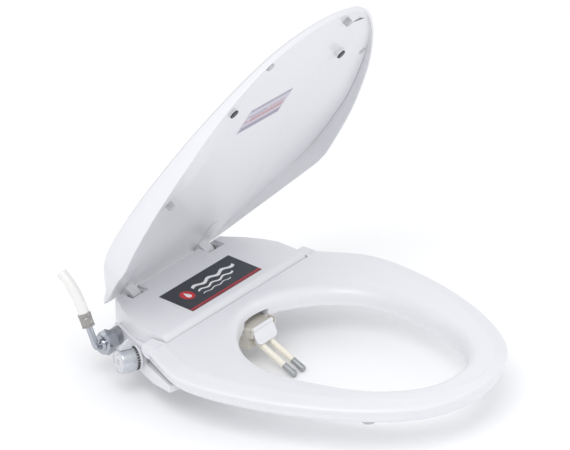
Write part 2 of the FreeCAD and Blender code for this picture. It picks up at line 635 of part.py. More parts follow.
# Under the ears the ring rises towards the pivot.
rise = prism([(pivot_y, pivot_z - ear_r), (pivot_y + 30, pivot_z - ear_r), (pivot_y + 30, -5),
              (ring_rear - 6, -5), (ring_rear - 6, seat_low)], "X", -FAR, FAR)
ring = ring.cut(rise)
for side in (-1, 1):
    a, b = sorted((side * ear_in, side * ear_out))
    ear = cylinder(ear_r, (a, pivot_y, pivot_z), (b, pivot_y, pivot_z))
    ear = ear.common(box(a, b, pivot_y - 20, pivot_y + 20, 0, seat_top))
    web = box(a, b, pivot_y - 9, pivot_y, pivot_z - ear_r + 1, seat_top)
    ring = ring.fuse(ear).fuse(web)
# Room over the nozzle barrels, and the hollow underside.
ring = ring.cut(box(-22, 22, -200, ring_rear + 5, seat_low - 5, seat_low + 8))
ring_wall = size("ring_wall")


def under_groove(low, high, wall_now):
    """The band between the ring's two walls, from low to high."""
    outer = stack(seat_half, [(low, 9 + wall_now), (high, 9 + wall_now)], spread=False)
    inner = stack(open_half, [(low, -wall_now), (high, -wall_now)], spread=False)
    band = outer.cut(inner)
    band = band.cut(box(-FAR, FAR, ring_rear - 14, FAR, BELOW, ABOVE))
    return band.cut(box(-30, 30, ring_rear - 60, FAR, BELOW, ABOVE))


PLATE = 2.5
ring = ring.cut(under_groove(seat_low + PLATE, seat_top - 8, ring_wall + 2))
ring = ring.cut(under_groove(seat_low - 1, seat_low + PLATE, ring_wall))
for side in (-1, 1):
    a, b = sorted((side * (ear_in - 1), side * (ear_in + 14)))
    ring = ring.cut(cylinder(size("seat_pin_radius") + run_gap, (a, pivot_y, pivot_z),
                             (b, pivot_y, pivot_z)))
solid_feature("seat_ring", ring.removeSplitter())
solid_feature("seat_underplate", under_groove(seat_low, seat_low + PLATE, ring_wall + 0.1))

SEAT_FOOT_R, SEAT_FOOT_TOP_R = 6.0, 7.5
BUMPERS = {"front_left": (-100.0, -338.0), "front_right": (100.0, -338.0),
           "rear_left": (-138.0, -205.0), "rear_right": (138.0, -205.0)}
for word, (x, y) in BUMPERS.items():
    foot = primitive("Part::Cone", "SeatBumper_" + word, placed((x, y, 0)),
                     Radius1=SEAT_FOOT_R, Radius2=SEAT_FOOT_TOP_R,
                     Height="Sizes.seat_top - Sizes.seat_thick")
    keep(foot, "seat_bumper_" + word)

# ---------------------------------------------------------------- lid, modelled closed
LID_TAIL = 6.0
over, lid_front = size("lid_over_seat"), size("lid_front")
lid_rear = cover_rear + LID_TAIL
lid_w = seat_w + over
# The first point is on the rear edge, so it has no share along the length.
LID_SHARES = [(0.510, None), (0.562, -0.050), (0.62, 0.0), (0.76, 0.097), (0.895, 0.188),
              (0.962, 0.245), (0.994, 0.318), (1.0, 0.390), (0.982, 0.490), (0.930, 0.590),
              (0.850, 0.693), (0.742, 0.790), (0.605, 0.878), (0.435, 0.950), (0.215, 0.990),
              (0.0, 1.0)]
LID_FROM_Y = -8.0
lid_half = [(sx * lid_w, lid_rear if sy is None else LID_FROM_Y - sy * (lid_front + LID_FROM_Y))
            for sx, sy in LID_SHARES]
lid_top = size("lid_top")
TILT = 0.016
LID_LOW, CEILING = 0.0, 5.5
lid_wall = size("lid_wall")
outer_lid = stack(lid_half, [(LID_LOW, 0.0), (lid_top - 14, 0.0), (lid_top - 8, 0.6),
                             (lid_top - 4, 2.2), (lid_top - 1.4, 6.0), (lid_top, 16.0)],
                  tilt=TILT, pivot_y=lid_rear, ruled=True)
open_rear = [(lid_half[0][0], lid_rear + 25)] + lid_half[1:]
inner_lid = stack(open_rear, [(LID_LOW - 4, lid_wall), (lid_top - 14, lid_wall),
                              (lid_top - 9, lid_wall + 1.5), (lid_top - CEILING, lid_wall + 9)],
                  tilt=TILT, pivot_y=lid_rear, ruled=True)
# Rim line of the open underside, seen from the side.
RIM = [(FAR, 46.5), (lid_rear, 46.5), (-110.0, 16.4), (-125.0, 15.0),
       (-192.0, 18.0), (-277.0, 23.5), (-347.0, 30.5), (-386.0, 33.5), (-FAR, 34.5)]
below = prism(RIM + [(-FAR, BELOW), (FAR, BELOW)], "X", -FAR, FAR)
lid = outer_lid.cut(inner_lid).cut(below)
lid = lid.cut(box(-FAR, FAR, lid_rear, FAR, BELOW, ABOVE))
hinge_point = V(0, lid_y, lid_z)
lid_turn = FreeCAD.Rotation(V(-1, 0, 0), size("lid_open"))
lid_place = FreeCAD.Placement(V(0, 0, 0), lid_turn, hinge_point)
solid_feature("lid_shell", lid, lid_place)


def ceiling(y):
    """Height of the lid's inner ceiling at this y, with the lid closed."""
    return lid_top - CEILING + TILT * (y - lid_rear)


neck_rear, neck_front, foot_front = lid_y + 5.5, lid_y - barrel_r, lid_y - 42.0
FOOT_DEEP, FOOT_TIP_DEEP = 10.2, 9.6
for side, word in ((-1, "left"), (1, "right")):
    a, b = side * arm_x - arm_w / 2, side * arm_x + arm_w / 2
    hub = cylinder(barrel_r, (a, lid_y, lid_z), (b, lid_y, lid_z))
    neck = prism([(neck_rear, lid_z), (neck_rear, ceiling(neck_rear)),
                  (neck_front, ceiling(neck_front)), (neck_front, lid_z)], "X", a, b)
    foot = prism([(lid_y, lid_z + FOOT_DEEP), (lid_y, ceiling(lid_y)),
                  (foot_front, ceiling(foot_front)), (foot_front, lid_z + FOOT_TIP_DEEP)],
                 "X", a, b)
    arm_solid = hub.fuse(neck).fuse(foot)
    arm_solid = arm_solid.cut(cylinder(pin_r + run_gap, (a - 1, lid_y, lid_z), (b + 1, lid_y, lid_z)))
    solid_feature("lid_arm_" + word, arm_solid.removeSplitter(), lid_place)

# Feet under the lid, as shares of its half width and of its hinge-to-front length.
BUMPER_R = 4.5
LID_BUMPERS = {"front_left": (-0.443, 0.923), "front_right": (0.306, 0.926),
               "middle_left": (-0.781, 0.723), "middle_right": (0.781, 0.723),
               "side_left": (-0.602, 0.421)}
lid_long = lid_front + lid_y


def lid_foot(label, radius, x, y):
    """A round foot from just above the closed seat up to the lid's ceiling."""
    foot = cylinder(radius, (x, y, rest_at), (x, y, ceiling(y) + FOOT_ROOT)).cut(lid)
    solid_feature(label, foot, lid_place)


REST_GAP, FOOT_ROOT = 0.3, 2.0
rest_at = seat_top + REST_GAP
for word, (across, along) in LID_BUMPERS.items():
    lid_foot("lid_bumper_" + word, BUMPER_R, across * lid_w, lid_y - along * lid_long)
POST_R, POST_ALONG, TIP = 5.5, 0.770, 1.5
for word, across in (("left", -0.549), ("right", 0.486)):
    x, y = across * lid_w, lid_y - POST_ALONG * lid_long
    tip = cylinder(POST_R, (x, y, rest_at), (x, y, rest_at + TIP))
    solid_feature("lid_post_tip_" + word, tip, lid_place)
    post = cylinder(POST_R, (x, y, rest_at + TIP), (x, y, ceiling(y) + FOOT_ROOT)).cut(lid)
    solid_feature("lid_post_" + word, post, lid_place)
STICKER, STICKER_REACH, STICKER_LEFT = (76.0, 40.0, 0.4), 278.0, 4.0
sticker_y = lid_y - STICKER_REACH
sticker = doc.addObject("Part::Box", "LidLabel")
sticker.Length, sticker.Width, sticker.Height = STICKER
tilt_turn = FreeCAD.Rotation(V(1, 0, 0), math.degrees(math.atan(TILT)))
sticker.Placement = lid_place * placed((-STICKER[0] / 2 - STICKER_LEFT, sticker_y - STICKER[1] / 2,
                                        ceiling(sticker_y - STICKER[1] / 2) - STICKER[2]), tilt_turn)
keep(sticker, "lid_label")

# ---------------------------------------------------------------- check and export
doc.recompute()
for made in doc.Objects:
    if "Invalid" in made.State or "Error" in made.State:
        raise RuntimeError("%s failed: %s" % (made.Label, made.State))
for made in parts:
    shape = made.Shape
    if shape.isNull() or not shape.isValid():
        raise RuntimeError("%s has no valid shape" % made.Label)
    print("%-22s solids %d volume %9.1f" % (made.Label, len(shape.Solids), shape.Volume))
for made in parts:
    made.Shape.exportStep("parts/%s.step" % made.Label)
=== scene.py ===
import json
import math
import bmesh
import bpy
from mathutils import Matrix, Vector
from mathutils.bvhtree import BVHTree


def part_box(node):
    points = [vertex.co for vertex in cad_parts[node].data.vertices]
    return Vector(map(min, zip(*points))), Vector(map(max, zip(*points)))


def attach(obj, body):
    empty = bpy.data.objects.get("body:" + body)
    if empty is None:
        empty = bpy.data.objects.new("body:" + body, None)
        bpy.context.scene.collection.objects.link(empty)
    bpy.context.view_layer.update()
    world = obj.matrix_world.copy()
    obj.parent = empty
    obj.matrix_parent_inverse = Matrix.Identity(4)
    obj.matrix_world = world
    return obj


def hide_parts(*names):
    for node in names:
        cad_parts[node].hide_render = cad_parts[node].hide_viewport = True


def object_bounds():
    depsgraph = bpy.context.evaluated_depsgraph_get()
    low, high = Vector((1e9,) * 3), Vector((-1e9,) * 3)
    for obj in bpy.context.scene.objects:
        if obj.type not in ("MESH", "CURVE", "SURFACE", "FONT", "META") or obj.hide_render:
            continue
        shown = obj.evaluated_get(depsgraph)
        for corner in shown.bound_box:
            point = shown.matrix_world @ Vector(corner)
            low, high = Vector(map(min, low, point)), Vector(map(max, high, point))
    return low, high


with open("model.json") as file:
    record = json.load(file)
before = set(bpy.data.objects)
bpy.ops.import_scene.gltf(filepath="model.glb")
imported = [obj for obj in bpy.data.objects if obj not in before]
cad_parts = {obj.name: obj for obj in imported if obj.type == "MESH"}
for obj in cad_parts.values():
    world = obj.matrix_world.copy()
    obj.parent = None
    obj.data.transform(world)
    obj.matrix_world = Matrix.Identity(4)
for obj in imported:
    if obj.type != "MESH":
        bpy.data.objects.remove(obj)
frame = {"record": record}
cad_box = [list(corner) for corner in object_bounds()]
MM = 0.001


# ---------------------------------------------------------------- materials

def material(name, colour, rough, metallic=0.0, tint=0.02, grain=180.0, bump=0.03,
             rough_span=0.05, coat=0.0, stretch=(1, 1, 1), subsurface=0.0):
    """A procedural finish: fine surface grain, uneven gloss and a faint drift of colour."""
    made = bpy.data.materials.new(name)
    made.use_nodes = True
    nodes, links = made.node_tree.nodes, made.node_tree.links
    shader = nodes["Principled BSDF"]
    shader.inputs["Metallic"].default_value = metallic
    shader.inputs["Coat Weight"].default_value = coat
    shader.inputs["Coat Roughness"].default_value = 0.08
    shader.inputs["Subsurface Weight"].default_value = subsurface
    shader.inputs["Subsurface Radius"].default_value = (0.01, 0.01, 0.01)
    place = nodes.new("ShaderNodeTexCoord")
    scale = nodes.new("ShaderNodeMapping")
    scale.inputs["Scale"].default_value = stretch
    links.new(place.outputs["Object"], scale.inputs["Vector"])

    def noise(size, detail):
        texture = nodes.new("ShaderNodeTexNoise")
        texture.inputs["Scale"].default_value = size
        texture.inputs["Detail"].default_value = detail
        links.new(scale.outputs["Vector"], texture.inputs["Vector"])
        return texture

    def ramp(source, low, high):
        span = nodes.new("ShaderNodeMapRange")
        span.inputs["From Min"].default_value = 0.3
        span.inputs["From Max"].default_value = 0.7
        span.inputs["To Min"].default_value = low
        span.inputs["To Max"].default_value = high
        links.new(source.outputs["Fac"], span.inputs["Value"])
        return span

    broad = noise(9.0, 3.0)
    blend = nodes.new("ShaderNodeMix")
    blend.data_type = "RGBA"
    blend.inputs["A"].default_value = (*[c * (1 - tint) for c in colour], 1)
    blend.inputs["B"].default_value = (*[min(1.0, c * (1 + tint)) for c in colour], 1)
    links.new(broad.outputs["Fac"], blend.inputs["Factor"])
    links.new(blend.outputs["Result"], shader.inputs["Base Color"])
    gloss = ramp(noise(35.0, 4.0), max(0.02, rough - rough_span), rough + rough_span)
    links.new(gloss.outputs["Result"], shader.inputs["Roughness"])
    relief = nodes.new("ShaderNodeBump")
    relief.inputs["Strength"].default_value = bump
    relief.inputs["Distance"].default_value = 0.0004
    links.new(noise(grain, 5.0).outputs["Fac"], relief.inputs["Height"])
    links.new(relief.outputs["Normal"], shader.inputs["Normal"])
    return made


WHITE = (0.735, 0.74, 0.765)
FINISH = {
    "lid_white": material("lid_white", WHITE, 0.3, coat=0.2, bump=0.015, rough_span=0.015,
                          tint=0.008),
    "seat_white": material("seat_white", (0.75, 0.755, 0.78), 0.3, coat=0.2, bump=0.015,
                           rough_span=0.015, tint=0.008),
    "body_white": material("body_white", (0.745, 0.75, 0.775), 0.36, coat=0.1, bump=0.03,
                           rough_span=0.015, tint=0.008),
    "gate_white": material("gate_white", (0.75, 0.755, 0.775), 0.3, coat=0.15, bump=0.03,
                           rough_span=0.02, tint=0.01),
    "rubber_grey": material("rubber_grey", (0.5, 0.5, 0.52), 0.6, bump=0.2, grain=900),
    "dark_plastic": material("dark_plastic", (0.05, 0.05, 0.055), 0.5, bump=0.15, grain=700),
    "label_slate": material("label_slate", (0.022, 0.027, 0.037), 0.34, tint=0.2, bump=0.05),
    "label_warning": material("label_warning", (0.55, 0.54, 0.62), 0.4, tint=0.05),
    "pin_steel": material("pin_steel", (0.45, 0.4, 0.34), 0.32, metallic=1.0, bump=0.1,
                          stretch=(1, 9, 9)),
    "chrome_fitting": material("chrome_fitting", (0.44, 0.46, 0.5), 0.1, metallic=1.0,
                               tint=0.06, bump=0.03, grain=400),
    "thread_grey": material("thread_grey", (0.32, 0.33, 0.36), 0.4, metallic=0.6, bump=0.1),
    "ferrule_grey": material("ferrule_grey", (0.36, 0.35, 0.34), 0.3, metallic=0.8, tint=0.2,
                             bump=0.2, grain=500),
    "hose_milky": material("hose_milky", (0.78, 0.78, 0.76), 0.32, coat=0.2, bump=0.05,
                           subsurface=0.3),
    "valve_plastic": material("valve_plastic", (0.6, 0.6, 0.62), 0.5, bump=0.2, grain=600),
    "knob_satin": material("knob_satin", (0.6, 0.62, 0.66), 0.3, metallic=1.0, bump=0.08,
                           grain=500, rough_span=0.08),
    "knob_face": material("knob_face", (0.66, 0.67, 0.7), 0.3, metallic=0.3, coat=0.3, bump=0.03),
    "knob_fin": material("knob_fin", (0.62, 0.63, 0.66), 0.3, metallic=0.2, coat=0.2, bump=0.05),
    "guide_beige": material("guide_beige", (0.62, 0.59, 0.53), 0.42, bump=0.1, grain=400),
    "nozzle_cream": material("nozzle_cream", (0.83, 0.79, 0.68), 0.3, coat=0.2, bump=0.05),
    "nozzle_tip": material("nozzle_tip", (0.36, 0.37, 0.38), 0.34, metallic=0.3, bump=0.1,
                           grain=600),
}
RED = material("label_red", (0.55, 0.012, 0.02), 0.35, tint=0.08, bump=0.05)
PALE_PRINT = material("label_pale", (0.8, 0.8, 0.82), 0.4, tint=0.03)
ROSE = material("label_rose", (0.5, 0.3, 0.34), 0.4, tint=0.06)
VIOLET = material("label_violet", (0.3, 0.27, 0.36), 0.4, tint=0.06)
# Dark ink for the knob's printed scale, also used as painted shade for the nozzles' spray holes.
DARK_PRINT_AND_HOLE_SHADE = material("print_dark_and_hole_shade", (0.09, 0.09, 0.11), 0.5, tint=0.1)

SLOT = {part["node"]: part["material_slot"] for part in frame["record"]["subparts"]}


# ---------------------------------------------------------------- mesh helpers

def finish_piece(made, node_or_slot, body, replaced=()):
    """Give a piece its finish and body, and hide the CAD nodes it stands for."""
    slot = SLOT.get(node_or_slot, node_or_slot)
    if not made.data.materials:
        made.data.materials.append(FINISH[slot])
    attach(made, body)
    if replaced:
        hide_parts(*replaced)
    return made


def mesh_object(name, points, faces, smooth=True):
    """A mesh in the scene, with doubled points merged and its faces turned outwards."""
    mesh = bpy.data.meshes.new(name)
    mesh.from_pydata([tuple(p) for p in points], [], faces)
    mesh.validate()
    shell = bmesh.new()
    shell.from_mesh(mesh)
    bmesh.ops.remove_doubles(shell, verts=shell.verts, dist=0.00002)
    bmesh.ops.recalc_face_normals(shell, faces=shell.faces)
    shell.to_mesh(mesh)
    shell.free()
    for face in mesh.polygons:
        face.use_smooth = smooth
    made = bpy.data.objects.new(name, mesh)
    bpy.context.scene.collection.objects.link(made)
    return made


def skin(name, rings, closed=True, caps=False):
    """Quads between rings of equal length. Rings that aren't closed are open rows."""
    count = len(rings[0])
    points = [p for ring in rings for p in ring]
    faces = []
    for j in range(len(rings) - 1):
        for i in range(count if closed else count - 1):
            a, b = j * count + i, j * count + (i + 1) % count
            k = (j + 1) * count
            faces.append((a, b, k + (i + 1) % count, k + i))
    if caps:
        faces.append(tuple(range(count - 1, -1, -1)))
        faces.append(tuple((len(rings) - 1) * count + i for i in range(count)))
    return mesh_object(name, points, faces)


def lathe(name, place, profile, turns=64, caps=True):
    """A turned piece: (distance, radius) along place's Z axis, in metres."""
    rings = []
    for along, radius in profile:
        rings.append([place @ Vector((radius * math.cos(2 * math.pi * i / turns),
                                      radius * math.sin(2 * math.pi * i / turns), along))
                      for i in range(turns)])
    made = skin(name, rings, caps=caps)
    sharp_smooth(made, 35)
    return made


def sharp_smooth(made, degrees):
    """Smooth shading that keeps the edges sharper than this angle."""
    mesh = made.data
    work = bmesh.new()
    work.from_mesh(mesh)
    for edge in work.edges:
        faces = edge.link_faces
        edge.smooth = len(faces) == 2 and edge.calc_face_angle(0) < math.radians(degrees)
    for face in work.faces:
        face.smooth = True
    work.to_mesh(mesh)
    work.free()


def rounded_copy(node, width, segments=3, angle=32):
    """A CAD node's own shape with its edges rounded, as a piece in its place."""
    source = bpy.data.objects[node]
    mesh = source.data.copy()
    mesh.name = node + "_rounded"
    mesh.materials.clear()
    work = bmesh.new()
    work.from_mesh(mesh)
    bmesh.ops.remove_doubles(work, verts=work.verts, dist=0.00001)
    bmesh.ops.dissolve_limit(work, angle_limit=math.radians(1.0), verts=work.verts,
                             edges=work.edges)
    bmesh.ops.recalc_face_normals(work, faces=work.faces)
    work.to_mesh(mesh)
    work.free()
    made = bpy.data.objects.new(node + "_rounded", mesh)
    bpy.context.scene.collection.objects.link(made)
    bevel = made.modifiers.new("Round", "BEVEL")
    bevel.width = width
    bevel.segments = segments
    bevel.limit_method = "ANGLE"
    bevel.angle_limit = math.radians(angle)
    bevel.use_clamp_overlap = True
    bevel.harden_normals = True
    for face in mesh.polygons:
        face.use_smooth = True
    weights = made.modifiers.new("Weigh", "WEIGHTED_NORMAL")
    weights.keep_sharp = True
    return finish_piece(made, node, BODY_OF[node], [node])


def direction_frame(origin, z_axis, up=Vector((0, 0, 1))):
    """A matrix with its Z along z_axis and its Y as near up as can be."""
    z = z_axis.normalized()
    x = up.cross(z).normalized()
    y = z.cross(x)
    return Matrix.Translation(origin) @ Matrix((x, y, z)).transposed().to_4x4()


BODY_OF = {node: body for body, nodes in frame["record"]["behaviour"]["bodies"].items()
           for node in nodes}
JOINT = {joint["name"]: joint for joint in frame["record"]["behaviour"]["joints"]}


def middle(node):
    """The middle of a CAD node's box."""
    low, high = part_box(node)
    return (Vector(low) + Vector(high)) / 2


# ---------------------------------------------------------------- camera, lights and floor

AZIMUTH, ELEVATION = math.radians(-53.9), math.radians(26.1)
back = Vector((math.sin(AZIMUTH) * math.cos(ELEVATION), -math.cos(AZIMUTH) * math.cos(ELEVATION),
               math.sin(ELEVATION)))
right = Vector((math.cos(AZIMUTH), math.sin(AZIMUTH), 0))
up = back.cross(right)
DISTANCE, FOCAL = 4.5, 257.5
SHIFT_LEFT, SHIFT_UP = 0.0614, 0.1191
aim = Vector((0, -0.230, 0.032))
camera = bpy.data.objects.new("Camera", bpy.data.cameras.new("Camera"))
camera.data.lens = FOCAL
camera.data.sensor_width = 36.0
camera.data.clip_end = 50.0
camera_at = aim + back * DISTANCE - right * SHIFT_LEFT + up * SHIFT_UP
camera.matrix_world = (Matrix.Translation(camera_at)
                       @ Matrix((right, up, back)).transposed().to_4x4())
bpy.context.scene.collection.objects.link(camera)
bpy.context.scene.camera = camera


LIT_SPOT = Vector((0, -0.15, 0.1))


def area_light(name, place, size, power):
    """A rectangular softbox that faces the object."""
    lamp = bpy.data.lights.new(name, "AREA")
    lamp.shape = "RECTANGLE"
    lamp.size, lamp.size_y = size
    lamp.energy = power
    made = bpy.data.objects.new(name, lamp)
    made.location = place
    made.rotation_euler = (LIT_SPOT - Vector(place)).to_track_quat("-Z", "Y").to_euler()
    bpy.context.scene.collection.objects.link(made)


area_light("Key", (-1.7, -0.9, 2.3), (1.8, 1.3), 28)
area_light("Front", (1.3, -2.2, 0.9), (1.6, 0.9), 4.5)
area_light("Rim", (1.7, 1.3, 1.7), (1.4, 1.0), 1.5)
world = bpy.data.worlds.new("Studio")
world.use_nodes = True
sky = world.node_tree.nodes["Background"].inputs
sky["Color"].default_value = (0.975, 0.98, 1.0, 1)
sky["Strength"].default_value = 0.9
bpy.context.scene.world = world
bpy.context.scene.view_settings.view_transform = "Standard"

FLOOR_GAP, FLOOR_HALF = 0.0005, 9
floor = mesh_object("Floor", [(x * FLOOR_HALF, y * FLOOR_HALF, cad_box[0][2] - FLOOR_GAP)
                              for x, y in ((-1, -1), (1, -1), (1, 1), (-1, 1))],
                    [(0, 1, 2, 3)], False)
floor.data.materials.append(material("floor", (0.97, 0.97, 0.975), 0.85, tint=0.006, bump=0.01))


# ---------------------------------------------------------------- supply hose

HOSE_ROUTE_MM = ((-157.54, 6.08, 50.37), (-157.54, 13.20, 66.36), (-157.54, 23.49, 80.51),
                 (-157.54, 36.89, 91.76))
HOSE_DIAMETER, HOSE_WALL, BORE_STEPS = 0.0125, 0.0021, 10


def hose_line(steps=36):
    """Points along the hose: a quadratic B-spline with its ends on the first and last points."""
    route = [Vector(place) * MM for place in HOSE_ROUTE_MM]
    knots = [0, 0, 0] + list(range(1, len(route) - 2)) + [len(route) - 2] * 3

    def share(i, degree, at):
        if degree == 0:
            return 1.0 if knots[i] <= at < knots[i + 1] else 0.0
        total = 0.0
        for first, span, rise in ((i, knots[i + degree] - knots[i], True),
                                  (i + 1, knots[i + degree + 1] - knots[i + 1], False)):
            if span:
                part = (at - knots[i]) if rise else (knots[i + degree + 1] - at)
                total += part / span * share(first, degree - 1, at)
        return total

    end = len(route) - 2
    points = []
    for step in range(steps + 1):
        at = min(end * step / steps, end - 1e-9)
        points.append(sum((route[i] * share(i, 2, at) for i in range(len(route))), Vector()))
    return points


def supply_hose():
    """The milky hose with its cut end open, so that its bore shows."""
    line = hose_line()
    outer, inner = HOSE_DIAMETER / 2, HOSE_DIAMETER / 2 - HOSE_WALL

    def ring(k, radius, along=0.0):
        ahead = (line[min(k + 1, len(line) - 1)] - line[max(k - 1, 0)]).normalized()
        side = Vector((1, 0, 0))
        other = ahead.cross(side).normalized()
        return [line[k] + ahead * along + (side * math.cos(t) + other * math.sin(t)) * radius
                for t in (2 * math.pi * i / 48 for i in range(48))]

    last = len(line) - 1
    rings = [ring(k, outer) for k in range(last)]
    rings += [ring(last, outer, -0.0006), ring(last, outer - 0.0005),
              ring(last, inner + 0.0005), ring(last, inner, -0.0005)]
    rings += [ring(k, inner) for k in range(last - 1, last - BORE_STEPS, -1)]
    made = skin("supply_hose_tube", rings, caps=True)
    sharp_smooth(made, 50)
    return finish_piece(made, "supply_hose", "base", ["supply_hose"])


supply_hose()


# ---------------------------------------------------------------- printed labels

def label_frame(node, facing, along):
    """The printed face of a label: its corner's matrix (X along, Z out) and its two sizes."""
    mesh = bpy.data.objects[node].data
    face = max(mesh.polygons, key=lambda f: f.normal.dot(facing))
    normal = face.normal.normalized()
    across = (along - normal * along.dot(normal)).normalized()
    rise = normal.cross(across)
    places = [v.co for v in mesh.vertices]
    top = max(p.dot(normal) for p in places)
    low_u, high_u = (pick(p.dot(across) for p in places) for pick in (min, max))
    shown = [p for p in places if p.dot(normal) > top - 0.0001]
    low_v, high_v = (pick(p.dot(rise) for p in shown) for pick in (min, max))
    corner = across * low_u + rise * low_v + normal * top
    place = Matrix.Translation(corner) @ Matrix((across, rise, normal)).transposed().to_4x4()
    return place, (high_u - low_u) / MM, (high_v - low_v) / MM


def patch(name, place, outline, finish, slot, body, layer=1):
    """A thin printed shape; the outline is in millimetres on the label's face."""
    lift, ink = 0.04 * layer * MM, 0.05 * MM
    count = len(outline)
    points = [place @ Vector((u * MM, v * MM, z)) for z in (lift - ink * 2, lift)
              for u, v in outline]
    faces = [tuple(range(count)), tuple(range(count, 2 * count))]
    faces += [(i, (i + 1) % count, count + (i + 1) % count, count + i) for i in range(count)]
    made = mesh_object(name, points, faces, smooth=False)
    made.data.materials.append(finish)
    return finish_piece(made, slot, body)


def disc(at, radius, turns=40):
    """A circle's outline."""
    return [(at[0] + radius * math.cos(2 * math.pi * i / turns),
             at[1] + radius * math.sin(2 * math.pi * i / turns)) for i in range(turns)]


def drop(at, radius):
    """A water drop: a round bottom drawn up to a point."""
    round_part = [(at[0] + radius * math.cos(t), at[1] + radius * math.sin(t))
                  for t in (math.radians(150 + 240 * i / 24) for i in range(25))]
    return round_part + [(at[0], at[1] + radius * 2.3)]


def wave(start, end, height, width, swell, crests, steps=48):
    """A wavy band from start to end along the label."""
    upper, lower = [], []
    for i in range(steps + 1):
        u = start + (end - start) * i / steps
        v = height + swell * math.sin(2 * math.pi * crests * i / steps)
        upper.append((u, v + width / 2))
        lower.append((u, v - width / 2))
    return lower + upper[::-1]


def strip(left, low, right, high):
    """A rectangle's outline."""
    return [(left, low), (right, low), (right, high), (left, high)]


cover_place, label_wide, label_deep = label_frame("cover_label", Vector((0, 0, 1)),
                                                  Vector((1, 0, 0)))
badge = (0.186 * label_wide, 0.55 * label_deep)
patch("label_badge", cover_place, disc(badge, 9.0), RED, "label_slate", "base")
patch("label_drop", cover_place, drop((badge[0], badge[1] - 2.0), 3.6), PALE_PRINT,
      "label_slate", "base", 2)
LABEL_WAVES = ((0.66, 4.2, 2.0), (0.47, 2.6, 1.5), (0.32, 1.3, 0.9))
for k, (height, width, swell) in enumerate(LABEL_WAVES):
    outline = wave(0.31 * label_wide, (0.9 - 0.1 * k) * label_wide, height * label_deep, width,
                   swell, 3)
    patch("label_wave_%d" % k, cover_place, outline, PALE_PRINT, "label_slate", "base")
patch("label_line_thick", cover_place, strip(0.2, 2.6, label_wide - 0.2, 4.2), RED,
      "label_slate", "base")
patch("label_line_thin", cover_place, strip(0.2, 0.3, label_wide - 0.2, 1.0), RED,
      "label_slate", "base")

OPEN = math.radians(-JOINT["lid_hinge"]["range_deg"][0])
down = Vector((0, -math.sin(OPEN), -math.cos(OPEN)))
lid_place, tag_wide, tag_deep = label_frame("lid_label", down, Vector((1, 0, 0)))
TAG_BARS = [(0.02, 0.90, 0.98, 0.97, VIOLET), (0.06, 0.62, 0.5, 0.68, VIOLET),
            (0.55, 0.62, 0.94, 0.68, ROSE), (0.14, 0.36, 0.94, 0.56, ROSE),
            (0.02, 0.40, 0.10, 0.52, ROSE), (0.02, 0.04, 0.98, 0.24, VIOLET)]
for k, (left, low, right, high, ink) in enumerate(TAG_BARS):
    patch("lid_tag_bar_%d" % k, lid_place,
          strip(left * tag_wide, low * tag_deep, right * tag_wide, high * tag_deep),
          ink, "label_warning", "lid")


# ---------------------------------------------------------------- creased lining of the lid

# Where the flat middle of the lid's inside ends, in mm: reach from the hinge, and half width.
LID_CREASE_MM = ((14, 106), (34, 107), (113, 108), (168, 94), (230, 78), (286, 80), (385, 80),
                 (424, 78))
FACET_SLOPE, FACET_ROWS, FACET_ACROSS = 0.1, 101, 12
FACET_FROM, FACET_STEP = 16 * MM, 4.08 * MM
# How far below the ceiling the wall is looked for, and the least width of a row.
WALL_PROBE, LEAST_ROW = 6 * MM, 2 * MM


def crease_at(along):
    """The crease's half width at this reach, in metres."""
    for (a, low), (b, high) in zip(LID_CREASE_MM, LID_CREASE_MM[1:]):
        if along <= b * MM:
            return (low + (high - low) * (along / MM - a) / (b - a)) * MM
    return LID_CREASE_MM[-1][1] * MM


def lid_facets():
    """Two thin panels inside the lid, each falling away from its crease to the side wall."""
    hinge = Vector(JOINT["lid_hinge"]["pos_m"])
    turn = Matrix.Rotation(OPEN, 4, Vector(JOINT["lid_hinge"]["axis"]))
    opened = Matrix.Translation(hinge) @ turn @ Matrix.Translation(-hinge)
    shell = bpy.data.objects["lid_shell"]
    walls = BVHTree.FromObject(shell, bpy.context.evaluated_depsgraph_get())
    to_shell = shell.matrix_world.inverted()
    inward = opened.to_3x3() @ Vector((0, 0, 1))

    def hit(start, heading):
        found = walls.ray_cast(to_shell @ start, to_shell.to_3x3() @ heading)[0]
        return None if found is None else shell.matrix_world @ found

    for side, word in ((-1, "left"), (1, "right")):
        rows = []
        for k in range(FACET_ROWS):
            along = FACET_FROM + k * FACET_STEP
            root = opened @ Vector((0, hinge.y - along, hinge.z))
            ceiling = hit(root, inward)
            level = (ceiling - root).dot(inward)
            wall = hit(root + inward * (level - WALL_PROBE), Vector((side, 0, 0)))
            span = abs(wall.x) if wall is not None else 0.0
            start = crease_at(along)
            if span <= start + LEAST_ROW:
                continue
            steps = [(span - start) * i / FACET_ACROSS for i in range(FACET_ACROSS + 1)]
            rows.append([opened @ Vector((side * (start + step), hinge.y - along,
                                          hinge.z + level - step * FACET_SLOPE))
                         for step in steps])
        finish_piece(skin("lid_facet_" + word, rows, closed=False), "lid_white", "lid")


lid_facets()


# ---------------------------------------------------------------- knob and dial

knob_at = Vector(JOINT["knob_turn"]["pos_m"])
knob_axis = Vector(JOINT["knob_turn"]["axis"]).normalized()
knob_frame = direction_frame(knob_at, knob_axis)


def seen_from(node, place):
    """A CAD node's points, measured in the frame of place."""
    inverse = place.inverted()
    return [inverse @ v.co for v in bpy.data.objects[node].data.vertices]


def reach(node, place):
    """How far a node runs along place's Z, and how wide it is about that axis."""
    spots = seen_from(node, place)
    return (min(p.z for p in spots), max(p.z for p in spots),
            max(math.hypot(p.x, p.y) for p in spots))


